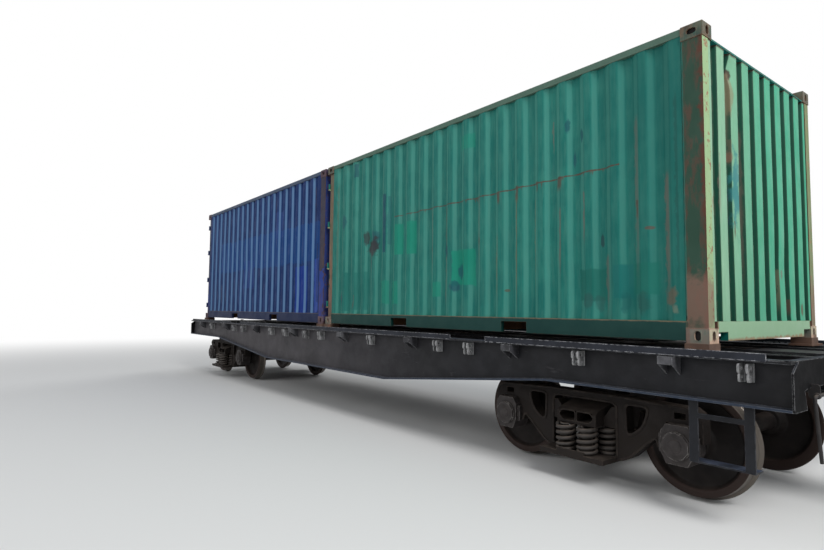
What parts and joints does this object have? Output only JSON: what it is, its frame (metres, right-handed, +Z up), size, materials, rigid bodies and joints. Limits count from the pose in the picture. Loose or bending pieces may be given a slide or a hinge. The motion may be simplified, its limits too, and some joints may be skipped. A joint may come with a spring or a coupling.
{
  "type": "container flatcar with two twenty-foot containers",
  "caption": "Four-axle railway flatcar with fish-bellied side sills, cast bogies and claw couplers, carrying corrugated steel freight containers.",
  "frame": {"origin": "middle of the car at the lowest points of the wheel flanges", "axes": "+X along the car towards the end beside the green container, +Z up"},
  "size_m": [14.8, 2.86, 3.929],
  "materials": {
    "blue_paint": "weathered blue paint",
    "bogie_brown": "dusty brown cast steel",
    "brake_black": "black paint",
    "coupler_steel": "bare cast steel",
    "fitting_rust": "rusty steel",
    "floor_wood": "plywood",
    "frame_black": "dusty charcoal paint",
    "green_end_paint": "weathered pale green paint",
    "green_paint": "weathered green paint",
    "spring_steel": "dusty spring steel",
    "wheel_steel": "rusty rolled steel, bright tread",
    "zinc_bars": "dull zinc"
  },
  "bodies": {
    "car": {"centre_sill": "frame_black", "side_sill_left": "frame_black", "side_sill_right": "frame_black", "end_sills": "frame_black", "body_bolsters": "frame_black", "cross_bearers": "frame_black", "stringers": "frame_black", "deck_edges": "frame_black", "stake_pockets": "frame_black", "side_lugs": "frame_black", "fitting_plates": "fitting_rust", "corner_steps": "frame_black", "brake_cylinder": "brake_black", "air_reservoir": "brake_black", "air_distributor": "brake_black", "draft_pockets": "coupler_steel", "draft_gear": "coupler_steel", "uncoupling_levers": "frame_black", "train_pipe": "brake_black", "brake_rods": "brake_black", "green_frame": "green_paint", "green_side_walls": "green_paint", "green_end_wall": "green_end_paint", "green_roof": "green_paint", "green_floor": "floor_wood", "blue_frame": "blue_paint", "blue_side_walls": "blue_paint", "blue_end_wall": "blue_paint", "blue_roof": "blue_paint", "blue_floor": "floor_wood", "green_door_left": "green_paint", "green_door_right": "green_paint", "green_lock_bars_left": "zinc_bars", "green_lock_bars_right": "zinc_bars"},
    "bogie_front": {"side_frames_front": "bogie_brown", "bolster_front": "bogie_brown", "springs_front": "spring_steel", "axle_boxes_front": "bogie_brown", "brake_gear_front": "bogie_brown"},
    "wheelset_front_outer": {"wheelset_front_outer": "wheel_steel"},
    "wheelset_front_inner": {"wheelset_front_inner": "wheel_steel"},
    "coupler_front": {"coupler_front": "coupler_steel"},
    "bogie_rear": {"side_frames_rear": "bogie_brown", "bolster_rear": "bogie_brown", "springs_rear": "spring_steel", "axle_boxes_rear": "bogie_brown", "brake_gear_rear": "bogie_brown"},
    "wheelset_rear_outer": {"wheelset_rear_outer": "wheel_steel"},
    "wheelset_rear_inner": {"wheelset_rear_inner": "wheel_steel"},
    "coupler_rear": {"coupler_rear": "coupler_steel"},
    "blue_door_left": {"blue_door_left": "blue_paint", "blue_lock_bars_left": "zinc_bars"},
    "blue_door_right": {"blue_door_right": "blue_paint", "blue_lock_bars_right": "zinc_bars"}
  },
  "joints": [
    {"name": "bogie_front_swivel", "type": "hinge", "parent": "car", "child": "bogie_front", "pos_m": [4.86, 0, 0.834], "axis": [0, 0, 1], "range_deg": [-5, 5]},
    {"name": "wheelset_front_outer_spin", "type": "hinge", "parent": "bogie_front", "child": "wheelset_front_outer", "pos_m": [5.785, 0, 0.493], "axis": [0, 1, 0], "continuous": true},
    {"name": "wheelset_front_inner_spin", "type": "hinge", "parent": "bogie_front", "child": "wheelset_front_inner", "pos_m": [3.935, 0, 0.493], "axis": [0, 1, 0], "continuous": true},
    {"name": "coupler_front_swing", "type": "hinge", "parent": "car", "child": "coupler_front", "pos_m": [6.3, 0, 1.088], "axis": [0, 0, 1], "range_deg": [-10, 10]},
    {"name": "bogie_rear_swivel", "type": "hinge", "parent": "car", "child": "bogie_rear", "pos_m": [-4.86, 0, 0.834], "axis": [0, 0, 1], "range_deg": [-5, 5]},
    {"name": "wheelset_rear_outer_spin", "type": "hinge", "parent": "bogie_rear", "child": "wheelset_rear_outer", "pos_m": [-5.785, 0, 0.493], "axis": [0, 1, 0], "continuous": true},
    {"name": "wheelset_rear_inner_spin", "type": "hinge", "parent": "bogie_rear", "child": "wheelset_rear_inner", "pos_m": [-3.935, 0, 0.493], "axis": [0, 1, 0], "continuous": true},
    {"name": "coupler_rear_swing", "type": "hinge", "parent": "car", "child": "coupler_rear", "pos_m": [-6.3, 0, 1.088], "axis": [0, 0, 1], "range_deg": [-10, 10]},
    {"name": "blue_door_left_hinge", "type": "hinge", "parent": "car", "child": "blue_door_left", "pos_m": [-6.074, 1.205, 2.6], "axis": [0, 0, -1], "range_deg": [0, 255]},
    {"name": "blue_door_right_hinge", "type": "hinge", "parent": "car", "child": "blue_door_right", "pos_m": [-6.074, -1.205, 2.6], "axis": [0, 0, 1], "range_deg": [0, 255]}
  ]
}
